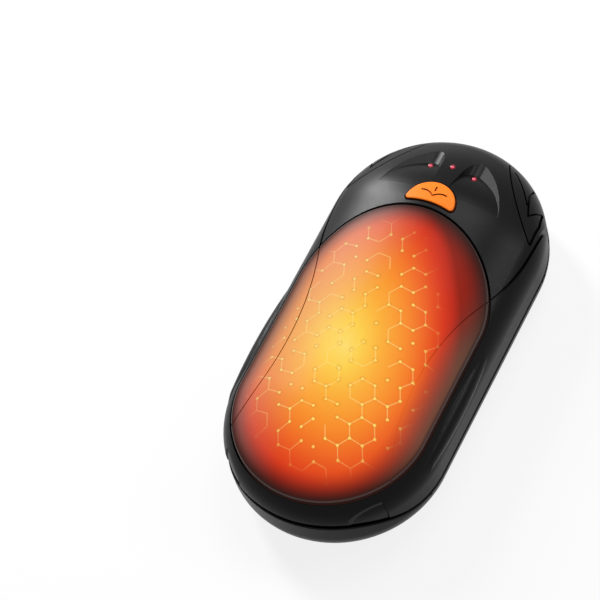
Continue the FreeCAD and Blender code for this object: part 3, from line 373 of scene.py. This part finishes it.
def painted_sheen_share(tree, axes, ahead, inside):
    """One along the panel's left side and towards its head, where a painted sheen pales the resin, else
    nought.
    """
    leftward = add(tree, "ShaderNodeMath", {0: ahead, 1: SHEEN_LEAN}, operation="MULTIPLY")
    leftward = add(tree, "ShaderNodeMath", {0: leftward, 1: axes["X"]}, operation="SUBTRACT")
    sheen = add(tree, "ShaderNodeMapRange", {
        "Value": leftward, "From Min": SHEEN_SPAN[0], "From Max": SHEEN_SPAN[1]})
    edge = add(tree, "ShaderNodeMapRange", {
        "Value": inside, "From Max": SHEEN_FADE}, interpolation_type="SMOOTHSTEP")
    return add(tree, "ShaderNodeMath", {0: sheen, 1: edge}, operation="MULTIPLY")


def leak_share(tree, axes, inside):
    """One along the middle of the panel's right side, where the painted glow falls off slowly, else nought.
    """
    spans = (
        (axes["X"], LEAK_ASIDE),
        (axes["Y"], LEAK_TO_HEAD),
        (axes["Y"], LEAK_TO_TAIL),
        (inside, LEAK_FROM_EDGE),
    )
    leak = 1.0
    for value, (low, high) in spans:
        share = add(tree, "ShaderNodeMapRange", {
            "Value": value, "From Min": low, "From Max": high}, interpolation_type="SMOOTHSTEP")
        leak = add(tree, "ShaderNodeMath", {0: leak, 1: share}, operation="MULTIPLY")
    return leak


def painted_glow_colour(tree, place, reach, inside):
    """The painted glow, yellow to red by its reach, with the film's lines and pads where it is warm."""
    clear = add(tree, "ShaderNodeMapRange", {
        "Value": inside, "From Min": TRACE_FADE[0], "From Max": TRACE_FADE[1],
    }, interpolation_type="SMOOTHSTEP")
    warm = add(tree, "ShaderNodeMapRange", {
        "Value": reach, "From Min": TRACE_REACH[0], "From Max": TRACE_REACH[1],
    }, interpolation_type="SMOOTHSTEP")
    clear = add(tree, "ShaderNodeMath", {0: clear, 1: warm}, operation="MULTIPLY")
    line, pad, shade = trace_shares(tree, place)
    lit = add(tree, "ShaderNodeValToRGB", {"Fac": reach}, stops=[
        (0.0, "#fcdc6c"), (0.15, "#fbce4c"), (0.33, "#faae38"), (0.53, "#f78c2a"), (0.67, "#ef6b24"),
        (0.77, "#e44e1d"), (0.85, "#d6381a"), (0.93, "#be2a17"), (1.0, "#901e10")])
    for share, colour in ((shade, "#c06a1c"), (line, "#ffe28a"), (pad, "#ffde6e")):
        share = add(tree, "ShaderNodeMath", {0: share, 1: clear}, operation="MULTIPLY")
        lit = add(tree, "ShaderNodeMix", {
            "Factor": share, COLOUR_A: lit, COLOUR_B: linear(colour)}, out=COLOUR_OUT, data_type="RGBA")
    return lit


def glow_finish():
    """Satin polycarbonate with a painted glow, drawn as if lit by the heater behind it.

    A painted sheen lies along its left side, the painted glow falls off brown along its right and dark at
    its ends, and its polished rim catches the light. Fine conductor lines and pads of the film are drawn in
    the glow, and painted shade keeps the flipper lines dark.
    """
    made, tree, shader, place = surface(
        "polycarbonate_painted_glow", "#120b08", "#170e0a", 0.32, 0.0015 * MM, speckle(0.7 * MM), {
            "IOR": 1.58, "Emission Strength": 1.0})
    axes = add(tree, "ShaderNodeSeparateXYZ", {"Vector": place}).node.outputs
    inside = edge_distance(tree, axes)
    gloss = add(tree, "ShaderNodeMapRange", {
        "Value": inside, "From Max": RIM_WIDTH, "To Min": RIM_GLOSS, "To Max": PANEL_GLOSS})
    tree.links.new(gloss, shader.inputs["Specular IOR Level"])

    along = add(tree, "ShaderNodeMath", {0: axes["Y"], 1: GLOW_Y}, operation="SUBTRACT")
    ahead = add(tree, "ShaderNodeMath", {0: along, 1: 0.0}, operation="MAXIMUM")
    lit = painted_glow_colour(tree, place, glow_reach(tree, axes, along, ahead), inside)
    sheen = painted_sheen_share(tree, axes, ahead, inside)
    leak = leak_share(tree, axes, inside)
    full = add(tree, "ShaderNodeMath", {
        0: leak, 1: LEAK_WIDENING, 2: GLOW_FADE[1]}, operation="MULTIPLY_ADD")
    fade = add(tree, "ShaderNodeMapRange", {
        "Value": inside, "From Min": GLOW_FADE[0], "From Max": full}, interpolation_type="SMOOTHSTEP")
    dimmed = add(tree, "ShaderNodeMath", {0: sheen, 1: -SHEEN_DIMMING, 2: 1.0}, operation="MULTIPLY_ADD")
    fade = add(tree, "ShaderNodeMath", {0: fade, 1: dimmed}, operation="MULTIPLY")
    groove_shade = flipper_share(tree, axes, inside)
    resin = shader.inputs["Base Color"].links[0].from_socket
    mixes = {"out": COLOUR_OUT, "data_type": "RGBA"}
    # Painted glow at the panel's edges: dark at its ends, brown where it falls off along the right side
    ends = add(tree, "ShaderNodeMix", {
        "Factor": leak, COLOUR_A: linear("#1e1614"), COLOUR_B: linear("#5f4335")}, **mixes)
    lit = add(tree, "ShaderNodeMix", {"Factor": fade, COLOUR_A: ends, COLOUR_B: lit}, **mixes)
    # Painted shade: the glow turns dark red in the flipper grooves
    lit = add(tree, "ShaderNodeMix", {
        "Factor": groove_shade, COLOUR_A: lit, COLOUR_B: linear("#3a1208")}, **mixes)
    # Painted sheen: a paler base colour along the left side, where the glow is also dimmed
    sheened_resin = add(tree, "ShaderNodeMix", {
        "Factor": sheen, COLOUR_A: resin, COLOUR_B: linear("#544b48")}, **mixes)
    tree.links.new(lit, shader.inputs["Emission Color"])
    tree.links.new(sheened_resin, shader.inputs["Base Color"])
    return made


def beak_finish():
    """Orange ABS from a satin tool: an even bright face, with painted shade in its lines and round its rim.
    """
    made, tree, shader, place = surface(
        "satin_orange_abs", "#fc7a1a", "#ff8624", 0.42, 0.001 * MM, speckle(0.5 * MM), {
            "IOR": 1.5, "Specular IOR Level": 0.1})
    axes = add(tree, "ShaderNodeSeparateXYZ", {"Vector": place}).node.outputs
    facing = add(tree, "ShaderNodeTexCoord", out="Normal")
    facing = add(tree, "ShaderNodeSeparateXYZ", {"Vector": facing}).node.outputs["Z"]
    rim = add(tree, "ShaderNodeMapRange", {
        "Value": facing, "From Min": BEAK_SHADE_FACING[0], "From Max": BEAK_SHADE_FACING[1]})
    line = groove_share(tree, axes, BEAK_CROWN)
    resin = shader.inputs["Base Color"].links[0].from_socket
    # Painted shade: darker orange in the engraved lines, dark brown on the steep wall round the rim
    for share, colour in ((line, "#c4500f"), (rim, "#6e2808")):
        resin = add(tree, "ShaderNodeMix", {
            "Factor": share, COLOUR_A: resin, COLOUR_B: linear(colour)}, out=COLOUR_OUT, data_type="RGBA")
    tree.links.new(resin, shader.inputs["Base Color"])
    return made


def light_pipe_finish():
    """Red acrylic light pipe with its lamp on: a pink core in a dark red edge."""
    made, tree, shader, place = surface(
        "red_acrylic", "#2c050a", "#34060c", 0.15, 0.0005 * MM, speckle(0.4 * MM), {
            "IOR": 1.49, "Specular IOR Level": 0.15, "Emission Strength": 1.0})
    folded = add(tree, "ShaderNodeVectorMath", {0: place}, operation="ABSOLUTE")
    gaps = []
    for spot in (EYE_PLACE, FOREHEAD_PLACE):
        away = add(tree, "ShaderNodeVectorMath", {0: folded, 1: spot}, operation="SUBTRACT")
        away = add(tree, "ShaderNodeVectorMath", {0: away, 1: LEVEL_ONLY}, operation="MULTIPLY")
        gaps.append(add(tree, "ShaderNodeVectorMath", {0: away}, out="Value", operation="LENGTH"))
    gap = add(tree, "ShaderNodeMath", {0: gaps[0], 1: gaps[1]}, operation="MINIMUM")
    share = add(tree, "ShaderNodeMath", {0: gap, 1: TIP_RADIUS}, operation="DIVIDE")
    core = add(tree, "ShaderNodeValToRGB", {"Fac": share}, stops=[
        (0.0, "#f8849a"), (0.3, "#e4566f"), (0.55, "#a01c32"), (0.75, "#4a0a14"), (1.0, "#240408")])
    tree.links.new(core, shader.inputs["Emission Color"])
    return made


def heater_tracks(tree, place):
    """Etched heater tracks with gaps as wide, winding across the film."""
    return add(tree, "ShaderNodeTexWave", {
        "Vector": place, "Scale": 2 * math.pi / (WAVE_TURN * HEATER_PITCH), "Detail": 1.0,
        "Distortion": HEATER_WINDING, "Detail Scale": HEATER_WINDING_SCALE}, bands_direction="Y")


def foam_cells(tree, place):
    """Closed cells of the foam."""
    return add(tree, "ShaderNodeTexVoronoi", {"Vector": place, "Scale": 1 / FOAM_CELL})


def board_tracks(tree, place):
    """Copper tracks in even runs under the green lacquer."""
    levels = {socket: (level, level, level, 1.0) for socket, level in BOARD_LEVELS.items()}
    return add(tree, "ShaderNodeTexBrick", {
        "Vector": place, "Scale": 1.0, "Brick Width": BOARD_TRACK_LENGTH,
        "Row Height": BOARD_TRACK_PITCH, "Mortar Size": BOARD_TRACK_WIDTH, **levels})


def inner_finishes():
    """Finishes of what lies inside the casing.

    Each row has the nodes, and the finish's name, two colours, roughness, relief, pattern and own values.
    """
    rows = [
        # Amber polyimide film: the etched tracks show through as darker winding lines
        (["front_heater_film", "back_heater_film"],
         "polyimide_film", "#8a4c16", "#c98428", 0.35, 0.01 * MM, heater_tracks, {"IOR": 1.7}),
        # Rolled aluminium sheet: bright, with fine lines along the rolling direction
        (["front_heat_spreader"],
         "rolled_aluminium", "#bcbdc0", "#d4d5d7", 0.35, 0.004 * MM,
         drawn_lines(0.3 * MM, 12 * MM, 1), {"Metallic": 1.0}),
        # Closed-cell foam: dull charcoal with tiny cells
        (["front_insulation", "back_insulation"],
         "closed_cell_foam", "#262628", "#404044", 0.9, 0.08 * MM, foam_cells, {"Specular IOR Level": 0.2}),
        # Shrunk PVC sleeve: satin blue, faintly wrinkled round the can
        (["right_cell", "left_cell"],
         "shrunk_pvc_sleeve", "#28568e", "#3166a6", 0.35, 0.02 * MM,
         drawn_lines(4 * MM, 0.8 * MM, 1), {"IOR": 1.53}),
        # Nickel strip: pale warm metal with brushed lines across it
        (["tail_link_strip", "positive_tab", "negative_tab"],
         "nickel_strip", "#b4b0a8", "#cac6be", 0.3, 0.003 * MM,
         drawn_lines(0.15 * MM, 6 * MM, 0), {"Metallic": 1.0}),
        # Silicone wire covers: matt and slightly mottled
        (["positive_lead"],
         "red_silicone_wire", "#9a1212", "#b41a1a", 0.5, 0.005 * MM, speckle(0.4 * MM), {"IOR": 1.41}),
        (["negative_lead"],
         "black_silicone_wire", "#0e0e0e", "#1a1a1a", 0.5, 0.005 * MM, speckle(0.4 * MM), {"IOR": 1.41}),
        # Lacquered glass-fibre board: green, with the copper tracks a lighter green under the lacquer
        (["main_board"],
         "lacquered_glass_fibre", "#0c4620", "#1c6a36", 0.35, 0.03 * MM, board_tracks, {"IOR": 1.55}),
        # Tin-plated steel: bright grey with fine drawing lines
        (["board_screws", "charging_socket"],
         "tin_plated_steel", "#b2b3b6", "#cccdd0", 0.28, 0.002 * MM,
         drawn_lines(0.2 * MM, 5 * MM, 1), {"Metallic": 1.0}),
        # Glass-filled nylon: matt black with a fine pale speckle
        (["socket_tongue", "switch_body", "switch_plunger", "power_inductor", "controller_chip"],
         "glass_filled_nylon", "#101010", "#242424", 0.5, 0.006 * MM, speckle(0.25 * MM), {"IOR": 1.53}),
        # Phosphor under clear silicone: cream yellow, glossy
        (["indicator_leds"],
         "led_phosphor", "#e6d8ac", "#f2e8c8", 0.25, 0.002 * MM, speckle(0.3 * MM), {"IOR": 1.5}),
        # Fired ceramic: tan and dull, with a fine grain
        (["board_capacitors"],
         "fired_ceramic", "#74593e", "#8e7458", 0.6, 0.004 * MM, speckle(0.2 * MM), {"IOR": 1.6}),
    ]
    for names, *look in rows:
        finish(names, surface(*look)[0])


def seen_ray(tree):
    """One for rays that come from the camera, or from it by way of gloss or glass."""
    path = add(tree, "ShaderNodeLightPath").node.outputs
    seen = path["Is Camera Ray"]
    for kind in ("Is Glossy Ray", "Is Transmission Ray"):
        seen = add(tree, "ShaderNodeMath", {0: seen, 1: path[kind]}, operation="MAXIMUM")
    return seen


def studio():
    """White paper floor, softboxes and a dim surround."""
    bpy.ops.object.select_all(action="DESELECT")
    bpy.ops.mesh.primitive_plane_add(size=FLOOR_SIZE, location=(0, 0, 0))
    floor = bpy.context.object
    floor.name = "floor"
    made = bpy.data.materials.new("white_paper_sweep")
    made.use_nodes = True
    tree = made.node_tree
    tree.nodes.clear()
    paper = add(tree, "ShaderNodeBsdfDiffuse", {"Color": linear("#f6f6f6")})
    white = add(tree, "ShaderNodeEmission", {"Color": WHITE, "Strength": 1.0})
    share = add(tree, "ShaderNodeMath", {
        0: seen_ray(tree), 1: FLOOR_WHITE_SHARE}, operation="MULTIPLY")
    mixed = add(tree, "ShaderNodeMixShader", {0: share, 1: paper, 2: white})
    add(tree, "ShaderNodeOutputMaterial", {"Surface": mixed})
    floor.data.materials.append(made)

    world = bpy.data.worlds.new("studio")
    world.use_nodes = True
    tree = world.node_tree
    tree.nodes.clear()
    level = add(tree, "ShaderNodeMapRange", {
        "Value": seen_ray(tree), "To Min": WORLD_STRENGTH, "To Max": 1.0})
    surround = add(tree, "ShaderNodeBackground", {"Color": WHITE, "Strength": level})
    add(tree, "ShaderNodeOutputWorld", {"Surface": surround})
    bpy.context.scene.world = world

    for name, box in SOFTBOXES.items():
        softbox(name, Vector(box["place"]), box["size"], box["watts"])


def softbox(name, place, size, watts):
    """A rectangular lamp that faces the warmer."""
    lamp = bpy.data.lights.new(name, "AREA")
    lamp.shape = "RECTANGLE"
    lamp.size, lamp.size_y = size
    lamp.energy = watts
    holder = bpy.data.objects.new(name, lamp)
    bpy.context.scene.collection.objects.link(holder)
    holder.location = place
    holder.rotation_mode = "QUATERNION"
    holder.rotation_quaternion = (-place).to_track_quat("-Z", "Y")


def camera():
    """The photograph's view of the warmer."""
    azimuth, elevation = math.radians(CAMERA_AZIMUTH), math.radians(CAMERA_ELEVATION)
    level = math.cos(elevation)
    back = Vector((math.sin(azimuth) * level, -math.cos(azimuth) * level, math.sin(elevation)))
    lens = bpy.data.cameras.new("photograph_view")
    lens.lens = CAMERA_LENS_MM
    lens.sensor_width = CAMERA_SENSOR_MM
    lens.clip_start = CAMERA_CLIP
    holder = bpy.data.objects.new("photograph_view", lens)
    bpy.context.scene.collection.objects.link(holder)
    roll = Matrix.Rotation(math.radians(CAMERA_ROLL), 4, "Z")
    turn = (-back).to_track_quat("-Z", "Y").to_matrix().to_4x4()
    holder.matrix_world = Matrix.Translation(CAMERA_AIM + back * CAMERA_DISTANCE) @ turn @ roll
    bpy.context.scene.camera = holder


bpy.context.scene.view_settings.view_transform = "Standard"
finish(["front_shell", "back_shell"], casing_finish())
finish(["belly_panel"], glow_finish())
finish(["beak_button"], beak_finish())
finish(["light_guide"], light_pipe_finish())
inner_finishes()
studio()
camera()
